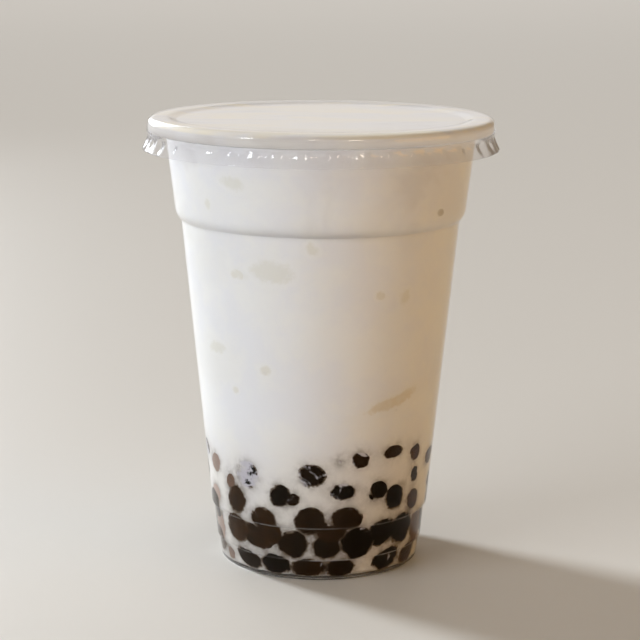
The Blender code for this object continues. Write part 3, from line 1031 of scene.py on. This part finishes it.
def milk_colour(nodes):
    """Milk with clouds, cream on top, tea low down, brown shade beside the pearls, and painted shade at
    the fold.
    """
    axes = nodes.split(nodes.object_place())
    height = axes[2]
    on_top = nodes.ramp(height, *(DRINK_TOP - depth for depth in SURFACE_DEPTHS))
    colour = nodes.mix(on_top, milk_body(nodes, height), milk_surface(nodes, axes))
    colour = nodes.mix(nodes.ramp(height, *TEA_HEIGHTS, start=0.0, end=0.45), colour, MILK_TEA)
    # painted shade: a faint dark line in the crease where the shoulder starts
    from_fold = nodes.away_from(height, FOLD_SHADE_HEIGHT)
    fold_shade = nodes.ramp(from_fold, 0.0, FOLD_SHADE_WIDTH, start=0.07, end=0.0)
    colour = nodes.mix(fold_shade, colour, MILK_SHADE)
    grain = nodes.noise(420.0, detail=4.0, roughness=0.65)
    patch = nodes.ramp(grain, 0.36, 0.64, start=0.35, end=1.0)
    deep = nodes.ramp(height, *DEEP_HEIGHTS, start=0.0, end=0.45)
    shade = nodes.times(nodes.attribute("halo"), nodes.plus(patch, deep), clamp=True)
    return nodes.mix(shade, colour, MILK_SHADE)


def milk_material():
    nodes = Nodes("milk")
    nodes.bump(nodes.noise(600.0, detail=2.0), strength=0.05, distance=RIPPLE_DEPTH)
    return nodes.finish(roughness=0.42, colour=milk_colour(nodes), ior=1.35)


def spot_reach(nodes, u, v, ragged):
    """How far out in its spot a point lies: 1 at the edge, which is made ragged."""
    reach = nodes.maths("SQRT", nodes.plus(nodes.times(u, u), nodes.times(v, v)))
    for scale, share in RAGGED_NOISE:
        rough = nodes.minus(nodes.noise(scale, detail=3.0, roughness=0.6), 0.5)
        reach = nodes.plus(reach, nodes.times(rough, share * ragged))
    return reach


def smeared_cover(nodes, smear, u):
    """How thickly milk lies on a point of a spot: above 0 where it is covered."""
    film = nodes.noise(230.0, detail=4.0, roughness=0.55, distortion=0.6)
    film = nodes.plus(film, nodes.times(nodes.times(smear, u), COVER_LEAN))
    return nodes.minus(film, nodes.minus(COVER_BARE, nodes.times(smear, COVER_SMEARED)))


def spot_material(name, look):
    """A pearl or bit behind a thin film of milk: clear in its middle, milky past its edge."""
    nodes = Nodes(name)
    u, v, smear = nodes.split(nodes.attribute("spot", "Vector"))
    reach = spot_reach(nodes, u, v, look.ragged)
    brownness = nodes.attribute("brown")
    patch = nodes.ramp(nodes.noise(240.0), 0.3, 0.7, start=0.4, end=1.0)
    tone = nodes.times(brownness, patch, clamp=True)
    colour = nodes.mix(tone, look.dark, look.brown)
    alone = nodes.minus(1.0, nodes.attribute("joined"), clamp=True)
    own_end, milk_start = look.edge
    middle = 0.5 * (own_end + milk_start)
    turning = nodes.times(nodes.ramp(reach, own_end, middle), alone)
    colour = nodes.mix(turning, colour, look.rim)
    milk = milk_colour(nodes)
    cover = smeared_cover(nodes, smear, u)
    colour = nodes.mix(nodes.ramp(cover, -0.05, 0.05), colour, THIN_MILK)
    colour = nodes.mix(nodes.ramp(cover, 0.06, 0.24), colour, milk)
    colour = nodes.mix(nodes.ramp(brownness, 1.0, 2.0), colour, look.veiled)
    milky = nodes.times(nodes.ramp(reach, middle - 0.02, milk_start), alone)
    if look.strength < 1.0:
        shown = nodes.times(nodes.minus(1.0, milky), look.strength)
        milky = nodes.minus(1.0, shown)
    colour = nodes.mix(milky, colour, milk)
    nodes.bump(nodes.noise(700.0, detail=3.0), strength=0.08, distance=RIPPLE_DEPTH)
    return nodes.finish(look.roughness, colour, ior=1.08)


# ---------- all together
def dress(piece, material, slot, *nodes):
    piece.data.materials.clear()
    piece.data.materials.append(material)
    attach(piece, "root")
    if nodes:
        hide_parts(*nodes)


def build():
    camera = make_camera()
    make_floor()
    make_lights()
    draw = random.Random(SEED)
    pearl_places = seen_places(camera, PEARLS_IN_VIEW) + hidden_pearls(draw)
    bit_places = seen_places(camera, BITS_IN_VIEW) + hidden_bits(draw)
    cup = make_cup_shell()
    lid = make_lid_shell()
    drink = make_drink_body()
    film = make_rim_film()
    shade_drink_near(drink, pearl_places)
    pearls = pressed_balls("pearls", pearl_places, pearl_places, PEARL_RADIUS, 1.0)
    bits = pressed_balls("coconut_bits", bit_places, pearl_places, BIT_RADIUS, BIT_DEPTH)
    dress(cup, cup_plastic(), "clear_cup", "cup")
    dress(lid, lid_plastic(), "clear_lid", "lid")
    milk = milk_material()
    dress(drink, milk, "smoothie", "drink")
    film.visible_shadow = False
    dress(film, milk, "smoothie")
    dress(pearls, spot_material("pearl", PEARL_LOOK), "pearls", "tapioca_pearls")
    dress(bits, spot_material("coconut", BIT_LOOK), "smoothie")


build()
